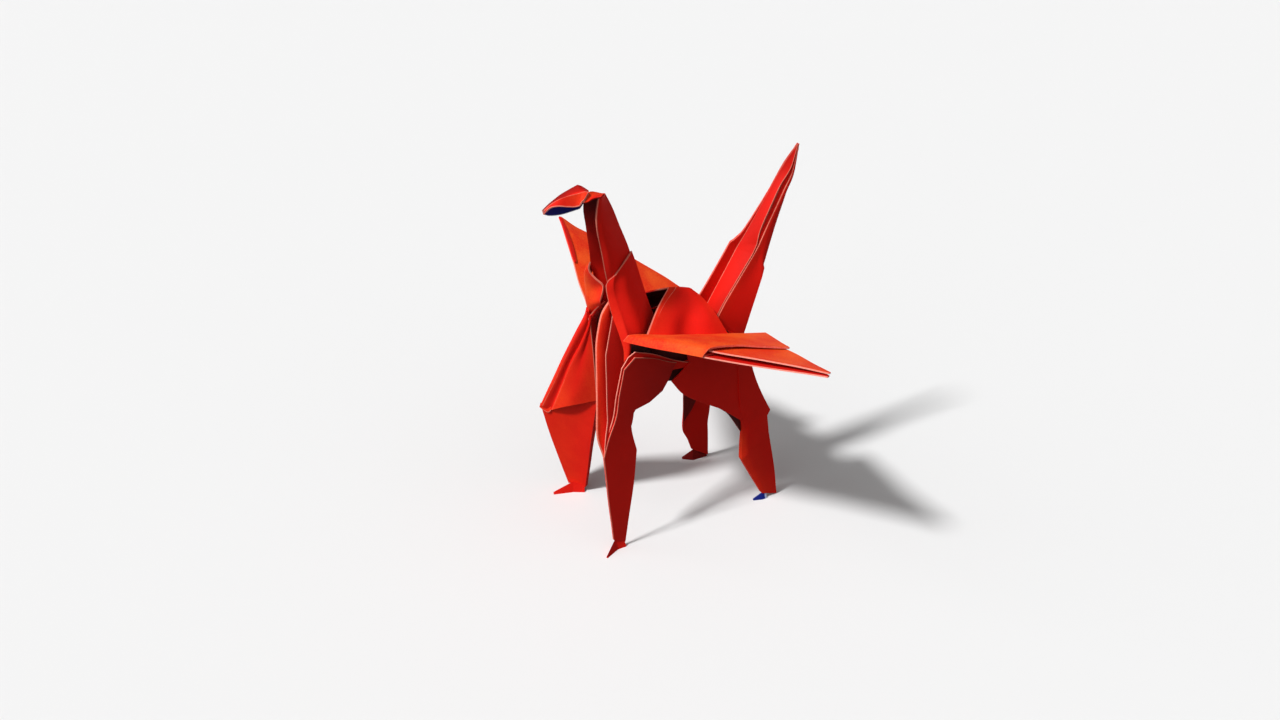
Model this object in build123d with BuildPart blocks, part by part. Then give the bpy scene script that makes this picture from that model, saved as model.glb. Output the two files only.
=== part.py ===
from build123d import *
from math import cos, radians, sin, tan
import os

# Folded paper crane on four legs, one square sheet, millimetres.
# X runs across the figure with its left side positive, the head looks along -Y, Z is up.
# Every flap is a plate as thick as the layers that lie flat in it, and creases are shared corners.

# Paper: one layer, and the layers pressed together in each flap
ply = 0.1
head_plies = 3
neck_plies = 3
collar_plies = 6
tail_plies = 4
tail_foot_plies = 6
hump_plies = 4
hump_hem_plies = 6
wing_plies = 4
wing_root_plies = 6
flank_plies = 4
leg_plies = 4
strip_plies = 3
toe_plies = 4
least_bend = 0.03

# Back: both wing roots run from shoulder to hip
shoulder_half = 6.4
shoulder_y = -13.8
shoulder_z = 46.5
hip_half = 8.0
hip_y = 16.5
hip_z = 40.2

# Hump: a ridge with a turned front hem, its feet given as shares of the wing root
hump_front_y = -1.3
hump_front_z = 51.3
hump_back_y = 3.9
hump_back_z = 49.8
hump_foot_front = 0.12
hump_foot_back = 0.69
hump_hem_top = 0.33
hump_hem_foot = 0.08
hump_waist = 0.45
hump_swell = 0.9

# Wings: leading edge from the shoulder, and the pleat across the wing as shares of its edges
near_wing_length = 37.7
near_wing_sweep = 37.1
near_wing_lift = 3.0
far_wing_length = 29.6
far_wing_sweep = 13.5
far_wing_lift = 14.8
wing_pleat_lead = 0.38
wing_pleat_trail = 0.45
wing_hem_width = 1.5

# Neck: a channel open to the front, stations measured along and square to its spine
neck_foot_y = -1.1
neck_foot_z = 37.4
neck_lean = 20.8
neck_length = 38.6
neck_brow_height = 31.0
neck_collar_height = 25.1
neck_collar_swell = 0.6
neck_low_height = 8.8
throat_height = 40.1
throat_depth = 1.9
throat_half = 2.0
cheek_height = 34.6
cheek_depth = 4.7
cheek_half = 2.6
collar_height = 22.6
collar_depth = 6.4
collar_half = 0.9
breast_height = 13.2
breast_depth = 9.1
breast_half = 4.4
craw_height = 9.1
craw_depth = 10.9
craw_half = 6.2
gullet_height = 2.1
gullet_depth = 9.6
gullet_half = 3.0

# Far side of the chest: the collar bulges out past the neck edge and turns back to the wing
cowl_top_half = 2.9
cowl_top_y = -16.4
cowl_top_z = 59.0
cowl_lip_half = 0.8
cowl_lip_y = -15.1
cowl_lip_z = 53.6
cowl_side_half = 5.4
cowl_side_y = -16.2
cowl_side_z = 54.2
cowl_low_half = 4.7
cowl_low_y = -15.9
cowl_low_z = 49.6
cowl_root_half = 7.3
cowl_root_y = -15.0
cowl_root_z = 51.4

# Head: a hood over the neck, from its nape forward, tipped down on the far side
crown_forward = 5.0
crown_rise = 2.4
bill_bend_forward = 8.6
bill_bend_rise = 1.3
bill_forward = 12.0
bill_drop = 1.1
jaw_half = 2.2
near_jaw_forward = 6.2
near_jaw_drop = 0.2
far_jaw_forward = 6.6
far_jaw_drop = 2.7

# Tail: a pleated spike, its five crease lines start square to its axis and meet at the tip
tail_foot_y = 10.0
tail_foot_z = 41.0
tail_lean = 27.6
tail_length = 38.2
tail_step_share = 0.4
tail_hem_height = 1.6
tail_hem_depth = 5.1
tail_hem_half = 2.2
tail_ridge_height = 0.7
tail_ridge_depth = 2.3
tail_ridge_half = 2.0
tail_slit_height = -0.2
tail_slit_depth = 2.7
tail_slit_half = 2.9
tail_slit_set = 2.0
tail_back_depth = 6.1
tail_back_half = 1.7
tail_far_depth = 4.3
tail_far_half = 2.0

# Keel inside the body, where the feet of neck and tail meet
keel_y = 2.0
keel_z = 35.0

# Flank and rear leg in side view, both in one plane that leans out to the foot
near_foot_half = 10.4
near_lean = 4.1
withers_y = -2.3
withers_z = 38.6
belly_front_y = -5.5
belly_front_z = 36.1
belly_y = -2.3
belly_z = 31.9
belly_mid_y = 3.6
belly_mid_z = 27.6
groin_y = 11.1
groin_z = 18.4
rump_y = 13.8
rump_z = 33.7
thigh_y = 15.7
thigh_z = 28.0
hock_y = 18.6
hock_z = 21.4
hock_notch = 0.8
calf_y = 19.1
calf_z = 12.6
rear_knee_y = 11.1
rear_knee_z = 11.6
rear_ankle_front = 17.0
rear_ankle_back = 20.5
rear_fold_half = 1.6
rear_fold_y = 0.8
rear_fold_share = 0.7
rear_toe_y = 15.2
rear_toe_half = 9.8

# Far rear leg, nearer to the middle and set forward
far_foot_half = 9.1
far_lean = 1.7
far_leg_forward = 3.6
far_thigh_forward = 1.8
far_calf_forward = 4.3
far_knee_forward = 2.9
far_ankle_front = 11.0
far_ankle_back = 14.8
far_toe_y = 9.6
far_toe_half = 10.5

# Near front leg in side view, in a plane of its own, folded down its front edge
front_foot_half = 8.75
front_lean = 1.55
haunch_top_y = -15.8
haunch_top_z = 41.9
haunch_back_y = -13.0
haunch_back_z = 43.6
armpit_y = -9.8
armpit_z = 32.5
elbow_y = -13.5
elbow_z = 31.6
shank_y = -17.7
shank_z = 31.7
knee_top_y = -19.5
knee_top_z = 26.9
knee_y = -20.2
knee_z = 22.3
knee_back_y = -13.0
knee_back_z = 20.9
shin_back_y = -14.4
shin_back_z = 13.1
front_ankle_front = -18.6
front_ankle_back = -16.0
front_toe_y = -21.1
front_toe_half = 10.3
front_fold_half = 1.0
front_fold_y = 1.0
front_fold_share = 0.6

# Front strip of the near front leg: its rounded inner fold and the layer edge beside it
strip_top_z = 51.7
strip_top_y = -14.4
strip_bend_z = 49.8
strip_bend_y = -16.3
strip_chest_z = 44.7
strip_chest_y = -18.2
strip_mid_z = 33.4
strip_mid_y = -19.6
strip_low_z = 27.1
strip_low_y = -20.7
strip_splay = 14.0
strip_splay_z = 52.0
layer_half = 2.1
layer_back = 0.8
valley_top_half = 5.2
valley_top_y = -12.2
valley_top_z = 43.6
valley_half = 6.5
valley_y = -14.4
valley_z = 37.2
valley_low_half = 7.2
valley_low_y = -16.8
valley_low_z = 31.0

# Far front leg, opened flat and facing forward
far_strip_half = 5.0
far_strip_y = -16.2
far_strip_z = 48.9
far_inner_half = 1.9
far_inner_y = -15.0
far_inner_z = 51.1
far_chest_half = 4.7
far_chest_y = -15.5
far_chest_z = 40.4
far_knee_half = 17.4
far_knee_y = -21.5
far_knee_z = 20.8
far_knee_in_half = 5.7
far_knee_in_y = -14.3
far_knee_in_z = 26.6
far_front_ankle_half = 14.9
far_front_ankle_y = -17.4
far_front_ankle_in_half = 11.0
far_front_ankle_in_y = -14.9
far_front_toe_half = 13.6
far_front_toe_y = -21.3
far_fold_half = 0.5
far_fold_y = 1.6
far_fold_share = 0.6

# Feet
ankle_z = 2.0
sole_width = 1.8


def between(start, end, share):
    """Point on the line from start to end."""
    return start + (end - start) * share


def on_spine(height, depth, half=0.0):
    """Point of the neck: height along the spine, depth forward of it."""
    lean = radians(neck_lean)
    y = neck_foot_y - height * sin(lean) - depth * cos(lean)
    z = neck_foot_z + height * cos(lean) - depth * sin(lean)
    return Vector(half, y, z)


def on_tail(height, depth, half=0.0):
    """Point of the tail: height along its axis, depth forward of it."""
    lean = radians(tail_lean)
    y = tail_foot_y + height * sin(lean) - depth * cos(lean)
    z = tail_foot_z + height * cos(lean) + depth * sin(lean)
    return Vector(half, y, z)


def on_side(y, z, foot_half, lean):
    """Point of a side flap that leans in from its foot."""
    return Vector(foot_half - z * tan(radians(lean)), y, z)


def normal_of(corners):
    """Unit normal of a flap."""
    return (corners[1] - corners[0]).cross(corners[2] - corners[0]).normalized()


def flap(plies, *corners):
    """Flat pieces of one flap: whole where its corners are level, else bent along fans."""
    normal = normal_of(corners)
    if all(abs((corner - corners[0]).dot(normal)) < least_bend for corner in corners):
        return [(plies, corners)]
    return [(plies, (corners[0], one, two)) for one, two in zip(corners[1:], corners[2:])]


def overlap(start, end, corners, others, half_thick):
    """How far a flap runs past a crease so that the outer faces of the fold meet."""
    along = (end - start).normalized()
    inward = sum(corners, Vector()) * (1 / len(corners)) - start
    inward = inward - along * inward.dot(along)
    reach = 0.0
    for other in others:
        if other is corners or start not in other or end not in other:
            continue
        away = sum(other, Vector()) * (1 / len(other)) - start
        away = away - along * away.dot(along)
        opening = radians(inward.get_angle(away)) / 2
        reach = max(reach, min(half_thick / tan(opening), half_thick))
    return reach


def plate(plies, corners, others):
    """One flat piece as a solid, its layers centred on the crease lines."""
    half_thick = plies * ply / 2
    frame = Plane(corners[0], corners[1] - corners[0], normal_of(corners))
    flat = [frame.to_local_coords(corner) for corner in corners]
    if sum(a.X * b.Y - b.X * a.Y for a, b in zip(flat, flat[1:] + flat[:1])) < 0:
        flat.reverse()
        corners = corners[::-1]
    ends = list(zip(corners, corners[1:] + corners[:1]))
    reach = [overlap(a, b, corners, others, half_thick) for a, b in ends]
    outline = []
    for index, corner in enumerate(flat):
        before = (corner - flat[index - 1]).normalized()
        after = (flat[(index + 1) % len(flat)] - corner).normalized()
        turn = before.X * after.Y - before.Y * after.X
        shift_in = reach[index - 1]
        shift_out = reach[index]
        if abs(turn) < least_bend:
            shift = Vector(before.Y, -before.X) * max(shift_in, shift_out)
        else:
            shift = (before * shift_out - after * shift_in) * (1 / turn)
        if shift.length > 2 * half_thick:
            shift = shift.normalized() * 2 * half_thick
        outline.append((corner.X + shift.X, corner.Y + shift.Y))
    with BuildSketch(frame) as face:
        with BuildLine():
            Polyline(*outline, close=True)
        make_face()
    return extrude(face.sketch, amount=half_thick, both=True, mode=Mode.PRIVATE)


def on_hump(ridge, root):
    """Point of the hump's swell between its ridge and the wing root."""
    return between(ridge, root, hump_waist) + Vector(0, 0, hump_swell)


def back(side):
    """Hump half with its hem, and the points of the wing root on one side."""
    shoulder = Vector(side * shoulder_half, shoulder_y, shoulder_z)
    hip = Vector(side * hip_half, hip_y, hip_z)
    ridge_front = Vector(0, hump_front_y, hump_front_z)
    ridge_back = Vector(0, hump_back_y, hump_back_z)
    hem_top = between(ridge_front, ridge_back, hump_hem_top)
    foot_front = between(shoulder, hip, hump_foot_front)
    hem_foot = between(shoulder, hip, hump_foot_front + hump_hem_foot)
    foot_back = between(shoulder, hip, hump_foot_back)
    waist_front = on_hump(ridge_front, foot_front)
    waist_hem = on_hump(hem_top, hem_foot)
    waist_back = on_hump(ridge_back, foot_back)
    hem = flap(hump_hem_plies, ridge_front, hem_top, waist_hem, waist_front)
    hem += flap(hump_hem_plies, waist_front, waist_hem, hem_foot, foot_front)
    top = flap(hump_plies, hem_top, ridge_back, waist_back, waist_hem)
    return hem + top + flap(hump_plies, waist_hem, waist_back, foot_back, hem_foot)


def wing(side, length, sweep, lift):
    """Wing flap: thick inside the pleat, thinner and hemmed outside it."""
    shoulder = Vector(side * shoulder_half, shoulder_y, shoulder_z)
    hip = Vector(side * hip_half, hip_y, hip_z)
    out = length * cos(radians(lift))
    run = Vector(side * out * cos(radians(sweep)), out * sin(radians(sweep)), length * sin(radians(lift)))
    tip = shoulder + run
    lead = between(shoulder, tip, wing_pleat_lead)
    trail = between(hip, tip, wing_pleat_trail)
    hem_end = lead + (trail - lead).normalized() * wing_hem_width
    inner = flap(wing_root_plies, shoulder, hip, trail, lead)
    outer = flap(wing_plies, hem_end, trail, tip)
    return inner + outer + flap(wing_root_plies, lead, hem_end, tip)


def neck(side):
    """One side of the neck channel above the collar."""
    nape = on_spine(neck_length, 0)
    brow = on_spine(neck_brow_height, 0)
    collar = on_spine(neck_collar_height, -neck_collar_swell)
    throat = on_spine(throat_height, throat_depth, side * throat_half)
    cheek = on_spine(cheek_height, cheek_depth, side * cheek_half)
    pinch = on_spine(collar_height, collar_depth, side * collar_half)
    upper = flap(neck_plies, nape, throat, cheek) + flap(neck_plies, nape, cheek, brow)
    return upper + flap(neck_plies, brow, cheek, pinch) + flap(neck_plies, brow, pinch, collar)


def near_chest():
    """Near side of the chest: the doubled collar widens down to the shoulder."""
    collar = on_spine(neck_collar_height, -neck_collar_swell)
    low = on_spine(neck_low_height, 0)
    foot = on_spine(0, 0)
    pinch = on_spine(collar_height, collar_depth, collar_half)
    breast = on_spine(breast_height, breast_depth, breast_half)
    craw = on_spine(craw_height, craw_depth, craw_half)
    gullet = on_spine(gullet_height, gullet_depth, gullet_half)
    panel = flap(collar_plies, collar, pinch, breast) + flap(collar_plies, collar, breast, low)
    panel += flap(collar_plies, low, breast, craw) + flap(collar_plies, low, craw, foot)
    return panel + flap(strip_plies, foot, craw, gullet)


def far_chest():
    """Far side of the chest: a lip at the front, a rounded side, and the turn back to the spine."""
    collar = on_spine(neck_collar_height, -neck_collar_swell)
    low = on_spine(neck_low_height, 0)
    foot = on_spine(0, 0)
    top = Vector(-cowl_top_half, cowl_top_y, cowl_top_z)
    lip = Vector(-cowl_lip_half, cowl_lip_y, cowl_lip_z)
    side = Vector(-cowl_side_half, cowl_side_y, cowl_side_z)
    bottom = Vector(-cowl_low_half, cowl_low_y, cowl_low_z)
    root = Vector(-cowl_root_half, cowl_root_y, cowl_root_z)
    shoulder = Vector(-shoulder_half, shoulder_y, shoulder_z)
    gullet = on_spine(gullet_height, gullet_depth, -gullet_half)
    front = flap(strip_plies, top, lip, side) + flap(strip_plies, lip, bottom, side)
    turn = flap(strip_plies, top, side, root) + flap(strip_plies, side, bottom, root)
    turn += flap(strip_plies, bottom, root, shoulder)
    panel = flap(strip_plies, collar, top, root) + flap(strip_plies, collar, root, low)
    panel += flap(strip_plies, low, root, shoulder) + flap(strip_plies, low, shoulder, gullet)
    return front + turn + panel + flap(strip_plies, low, gullet, foot)


def head(side):
    """One side of the hood; the far jaw hangs lower than the near one."""
    nape = on_spine(neck_length, 0)
    crown = Vector(0, nape.Y - crown_forward, nape.Z + crown_rise)
    bend = Vector(0, nape.Y - bill_bend_forward, nape.Z + bill_bend_rise)
    bill = Vector(0, nape.Y - bill_forward, nape.Z - bill_drop)
    throat = on_spine(throat_height, throat_depth, side * throat_half)
    forward = near_jaw_forward if side > 0 else far_jaw_forward
    drop = near_jaw_drop if side > 0 else far_jaw_drop
    jaw = Vector(side * jaw_half, nape.Y - forward, nape.Z - drop)
    hood = flap(head_plies, nape, throat, crown) + flap(head_plies, crown, throat, jaw)
    return hood + flap(head_plies, crown, jaw, bend) + flap(head_plies, bend, jaw, bill)


def tail():
    """Tail spike from its foot lines to the tip, with a step where its foot is doubled."""
    tip = on_tail(tail_length, 0)
    hem = on_tail(tail_hem_height, tail_hem_depth, -tail_hem_half)
    ridge = on_tail(tail_ridge_height, tail_ridge_depth, -tail_ridge_half)
    slit = on_tail(tail_slit_height, tail_slit_depth, tail_slit_half)
    spine = on_tail(0, -tail_back_depth, tail_back_half)
    far_spine = on_tail(0, -tail_far_depth, -tail_far_half)
    hem_step = between(hem, tip, tail_step_share)
    ridge_step = between(ridge, tip, tail_step_share)
    slit_step = between(slit, tip, tail_step_share) - on_tail(0, tail_slit_set) + on_tail(0, 0)
    spine_step = between(spine, tip, tail_step_share)
    far_step = between(far_spine, tip, tail_step_share)
    lines = [(hem, hem_step), (ridge, ridge_step), (slit, slit_step), (spine, spine_step)]
    lines.append((far_spine, far_step))
    pieces = []
    for (foot_a, step_a), (foot_b, step_b) in zip(lines, lines[1:] + lines[:1]):
        pieces += flap(tail_foot_plies, foot_a, foot_b, step_b, step_a)
        pieces += flap(tail_plies, step_a, step_b, tip)
    return pieces


def body(side, foot_half, lean):
    """Flank of one side, the saddle up to the wing root, and the webs to the keel."""
    shoulder = Vector(side * shoulder_half, shoulder_y, shoulder_z)
    hip = Vector(side * hip_half, hip_y, hip_z)
    half = side * foot_half
    tilt = side * lean
    withers = on_side(withers_y, withers_z, half, tilt)
    belly_front = on_side(belly_front_y, belly_front_z, half, tilt)
    belly = on_side(belly_y, belly_z, half, tilt)
    belly_mid = on_side(belly_mid_y, belly_mid_z, half, tilt)
    groin = on_side(groin_y, groin_z, half, tilt)
    rump = on_side(rump_y, rump_z, half, tilt)
    loin = between(shoulder, hip, (withers_y - shoulder_y) / (hip_y - shoulder_y))
    keel = Vector(0, keel_y, keel_z)
    neck_foot = on_spine(0, 0)
    gullet = on_spine(gullet_height, gullet_depth, side * gullet_half)
    slit = on_tail(tail_slit_height, tail_slit_depth, tail_slit_half)
    hem = on_tail(tail_hem_height, tail_hem_depth, -tail_hem_half)
    spine = on_tail(0, -tail_back_depth, tail_back_half)
    far_spine = on_tail(0, -tail_far_depth, -tail_far_half)
    tail_edge = slit if side > 0 else hem
    tail_back = spine if side > 0 else far_spine
    flank = flap(flank_plies, withers, rump, groin, belly_mid, belly, belly_front)
    saddle = flap(flank_plies, loin, hip, rump) + flap(flank_plies, loin, rump, withers)
    front_web = flap(flank_plies, neck_foot, gullet, belly_front)
    front_web += flap(flank_plies, neck_foot, belly_front, keel)
    mid_web = flap(flank_plies, keel, belly_front, rump)
    rear_web = flap(flank_plies, keel, rump, tail_back) + flap(flank_plies, keel, tail_back, tail_edge)
    return flank + saddle + front_web + mid_web + rear_web


def foot(front, behind, tip_half, tip_y):
    """Toe folded forward: a ridge down to the tip, two sides, the heel and the sole."""
    sole_z = toe_plies * ply / 2
    tip = Vector(tip_half, tip_y, sole_z)
    right = Vector(behind.X + sole_width / 2, behind.Y, sole_z)
    left = Vector(behind.X - sole_width / 2, behind.Y, sole_z)
    sides = flap(toe_plies, front, right, tip) + flap(toe_plies, front, left, tip)
    heel = flap(toe_plies, front, behind, right) + flap(toe_plies, front, behind, left)
    return sides + heel + flap(toe_plies, right, left, tip)


def rear_leg(side, foot_half, lean, forward, ankle, toe_half, toe_y):
    """Rear leg: outer flap in the plane of the flank, folded in down its back edge."""
    thigh_forward, hock_forward, calf_forward, knee_forward = forward
    half = side * foot_half
    tilt = side * lean
    rump = on_side(rump_y, rump_z, half, tilt)
    thigh = on_side(thigh_y - thigh_forward, thigh_z, half, tilt)
    hock = on_side(hock_y - hock_forward, hock_z, half, tilt)
    notch = on_side(hock_y - hock_forward - hock_notch, hock_z - hock_notch, half, tilt)
    groin = on_side(groin_y, groin_z, half, tilt)
    calf = on_side(calf_y - calf_forward, calf_z, half, tilt)
    knee = on_side(rear_knee_y - knee_forward, rear_knee_z, half, tilt)
    front = on_side(ankle[0], ankle_z, half, tilt)
    behind = on_side(ankle[1], ankle_z, half, tilt)
    inward = Vector(-side * rear_fold_half, -rear_fold_y, 0)
    low_inward = inward * rear_fold_share
    outer = flap(leg_plies, rump, thigh, hock, notch, groin)
    shin = flap(leg_plies, groin, notch, calf, behind, front, knee)
    inner = flap(strip_plies, rump, hock, hock + inward, rump + inward)
    inner += flap(strip_plies, notch, calf, calf + low_inward, hock + inward)
    inner += flap(strip_plies, calf, behind, calf + low_inward)
    return outer + shin + inner + foot(front, behind, side * toe_half, toe_y)


def front_leg():
    """Near front leg: outer flap, front strip with its rounded inner fold, and shin."""
    def place(y, z):
        return on_side(y, z, front_foot_half, front_lean)

    def strip(y, z):
        return Vector((strip_splay_z - z) * tan(radians(strip_splay)), y, z)

    shoulder = Vector(shoulder_half, shoulder_y, shoulder_z)
    withers = on_side(withers_y, withers_z, near_foot_half, near_lean)
    belly_front = on_side(belly_front_y, belly_front_z, near_foot_half, near_lean)
    top = place(haunch_top_y, haunch_top_z)
    back_top = place(haunch_back_y, haunch_back_z)
    armpit = place(armpit_y, armpit_z)
    elbow = place(elbow_y, elbow_z)
    shank = place(shank_y, shank_z)
    knee_top = place(knee_top_y, knee_top_z)
    knee = place(knee_y, knee_z)
    knee_back = place(knee_back_y, knee_back_z)
    shin_back = place(shin_back_y, shin_back_z)
    front = place(front_ankle_front, ankle_z)
    behind = place(front_ankle_back, ankle_z)
    inner_top = strip(strip_top_y, strip_top_z)
    inner_bend = strip(strip_bend_y, strip_bend_z)
    inner_chest = strip(strip_chest_y, strip_chest_z)
    inner_mid = strip(strip_mid_y, strip_mid_z)
    inner_low = strip(strip_low_y, strip_low_z)
    layer = Vector(layer_half, layer_back, 0)
    layer_top = inner_bend + layer
    layer_chest = inner_chest + layer
    layer_low = inner_mid + layer
    valley_top = Vector(valley_top_half, valley_top_y, valley_top_z)
    valley = Vector(valley_half, valley_y, valley_z)
    valley_low = Vector(valley_low_half, valley_low_y, valley_low_z)
    craw = on_spine(craw_height, craw_depth, craw_half)
    gullet = on_spine(gullet_height, gullet_depth, gullet_half)
    haunch = flap(leg_plies, top, back_top, withers, belly_front, armpit, elbow, shank)
    outer = haunch + flap(leg_plies, shank, elbow, knee_back, knee, knee_top)
    outer += flap(leg_plies, knee, knee_back, shin_back, behind, front)
    fold = flap(strip_plies, inner_top, inner_bend, layer_top)
    fold += flap(strip_plies, inner_bend, inner_chest, layer_chest, layer_top)
    fold += flap(strip_plies, inner_chest, inner_mid, layer_low, layer_chest)
    fold += flap(strip_plies, inner_mid, inner_low, knee, layer_low)
    side = flap(strip_plies, layer_top, layer_chest, valley_top)
    side += flap(strip_plies, layer_chest, valley, valley_top)
    side += flap(strip_plies, layer_chest, layer_low, valley_low, valley)
    side += flap(strip_plies, layer_low, knee, valley_low) + flap(strip_plies, knee, knee_top, valley_low)
    side += flap(strip_plies, craw, valley_top, top) + flap(strip_plies, valley_top, valley, top)
    side += flap(strip_plies, valley, valley_low, shank, top) + flap(strip_plies, valley_low, knee_top, shank)
    side += flap(strip_plies, shoulder, top, back_top) + flap(strip_plies, shoulder, craw, top)
    inner = flap(strip_plies, inner_chest, inner_mid, gullet) + flap(strip_plies, inner_mid, gullet, valley)
    tuck = Vector(-front_fold_half, front_fold_y, 0)
    shin = flap(strip_plies, knee, front, front + tuck * front_fold_share, knee + tuck)
    loin_share = (withers_y - shoulder_y) / (hip_y - shoulder_y)
    loin = between(shoulder, Vector(hip_half, hip_y, hip_z), loin_share)
    saddle = flap(flank_plies, shoulder, back_top, withers, loin)
    return outer + fold + side + inner + shin + saddle + foot(front, behind, front_toe_half, front_toe_y)


def flat_leg():
    """Far front leg, opened flat: a front face, a back face behind it, and the wall back to the flank."""
    shoulder = Vector(-shoulder_half, shoulder_y, shoulder_z)
    hip = Vector(-hip_half, hip_y, hip_z)
    withers = on_side(withers_y, withers_z, -far_foot_half, -far_lean)
    belly_front = on_side(belly_front_y, belly_front_z, -far_foot_half, -far_lean)
    loin = between(shoulder, hip, (withers_y - shoulder_y) / (hip_y - shoulder_y))
    gullet = on_spine(gullet_height, gullet_depth, -gullet_half)
    outer_top = Vector(-far_strip_half, far_strip_y, far_strip_z)
    inner_top = Vector(-far_inner_half, far_inner_y, far_inner_z)
    chest = Vector(-far_chest_half, far_chest_y, far_chest_z)
    knee = Vector(-far_knee_half, far_knee_y, far_knee_z)
    knee_in = Vector(-far_knee_in_half, far_knee_in_y, far_knee_in_z)
    front = Vector(-far_front_ankle_half, far_front_ankle_y, ankle_z)
    behind = Vector(-far_front_ankle_in_half, far_front_ankle_in_y, ankle_z)
    set_back = Vector(-far_fold_half, far_fold_y, 0)
    low_back = set_back * far_fold_share
    face = flap(leg_plies, outer_top, inner_top, chest) + flap(leg_plies, outer_top, chest, knee_in, knee)
    face += flap(leg_plies, knee, knee_in, behind, front)
    rear = flap(strip_plies, shoulder, chest + set_back, knee_in + set_back, knee + set_back)
    rear += flap(strip_plies, knee + set_back, knee_in + set_back, behind + low_back, front + low_back)
    edges = flap(strip_plies, outer_top, knee, knee + set_back, shoulder)
    edges += flap(strip_plies, knee, front, front + low_back, knee + set_back)
    edges += flap(strip_plies, chest, knee_in, knee_in + set_back, chest + set_back)
    edges += flap(strip_plies, knee_in, behind, behind + low_back, knee_in + set_back)
    wall = flap(strip_plies, shoulder, loin, withers) + flap(strip_plies, shoulder, withers, belly_front)
    wall += flap(strip_plies, shoulder, belly_front, chest + set_back)
    wall += flap(strip_plies, chest + set_back, belly_front, gullet)
    return face + rear + edges + wall + foot(front, behind, -far_front_toe_half, far_front_toe_y)


pieces = []
for side in (1, -1):
    pieces += back(side) + neck(side) + head(side)
pieces += near_chest() + far_chest()
pieces += wing(1, near_wing_length, near_wing_sweep, near_wing_lift)
pieces += wing(-1, far_wing_length, far_wing_sweep, far_wing_lift)
pieces += tail()
pieces += body(1, near_foot_half, near_lean)
pieces += body(-1, far_foot_half, far_lean)
near_forward = (0, 0, 0, 0)
near_ankle = (rear_ankle_front, rear_ankle_back)
far_forward = (far_thigh_forward, far_leg_forward, far_calf_forward, far_knee_forward)
far_ankle = (far_ankle_front, far_ankle_back)
pieces += rear_leg(1, near_foot_half, near_lean, near_forward, near_ankle, rear_toe_half, rear_toe_y)
pieces += rear_leg(-1, far_foot_half, far_lean, far_forward, far_ankle, far_toe_half, far_toe_y)
pieces += front_leg() + flat_leg()

outlines = [corners for plies, corners in pieces]
plates = [plate(plies, corners, outlines) for plies, corners in pieces]

with BuildPart() as folded_sheet:
    add(plates)
    split(bisect_by=Plane.XY, keep=Keep.TOP)

middle = folded_sheet.part.bounding_box().center()
folded_sheet.part = Pos(-middle.X, -middle.Y, 0) * folded_sheet.part
folded_sheet.part.label = "folded_sheet"
print("moved by", -middle.X, -middle.Y)
print("faces", len(folded_sheet.part.faces()), "solids", len(folded_sheet.part.solids()))

os.makedirs("parts", exist_ok=True)
export_step(folded_sheet.part, "parts/folded_sheet.step")
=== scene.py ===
import math

import bmesh
import bpy
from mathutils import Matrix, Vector, noise


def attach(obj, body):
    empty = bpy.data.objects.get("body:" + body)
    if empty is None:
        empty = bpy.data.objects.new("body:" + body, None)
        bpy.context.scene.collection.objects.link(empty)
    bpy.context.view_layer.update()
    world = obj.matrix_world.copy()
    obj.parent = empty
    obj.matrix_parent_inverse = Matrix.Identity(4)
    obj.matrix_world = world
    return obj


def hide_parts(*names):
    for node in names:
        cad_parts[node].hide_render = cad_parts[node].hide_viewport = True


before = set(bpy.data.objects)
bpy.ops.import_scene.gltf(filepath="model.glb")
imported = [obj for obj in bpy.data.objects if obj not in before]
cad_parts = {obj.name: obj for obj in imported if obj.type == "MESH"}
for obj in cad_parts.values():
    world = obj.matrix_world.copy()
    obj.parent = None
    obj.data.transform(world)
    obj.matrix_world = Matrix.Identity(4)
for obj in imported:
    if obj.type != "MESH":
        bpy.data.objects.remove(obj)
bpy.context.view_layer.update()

# The figure is laid out in millimetres: -Y to the head, +X to the near side, the floor at z = 0.
layout = {
    "toMetres": 0.001,
    "shift": Vector((-1.088, -0.463, 0.0)),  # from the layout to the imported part's frame
    "alongSteps": 6,
    "acrossSteps": 6,
    "waveSize": 9.0,  # distance between the soft waves in the sheet
    "waveHeight": 0.10,
    "waveSeed": 7,
    "waveStart": 1.0,  # height above the floor where the waves begin
    "waveRise": 6.0,
    "mitreLimit": 1.6,  # how far an outer corner runs out, in thicknesses
}


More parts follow.
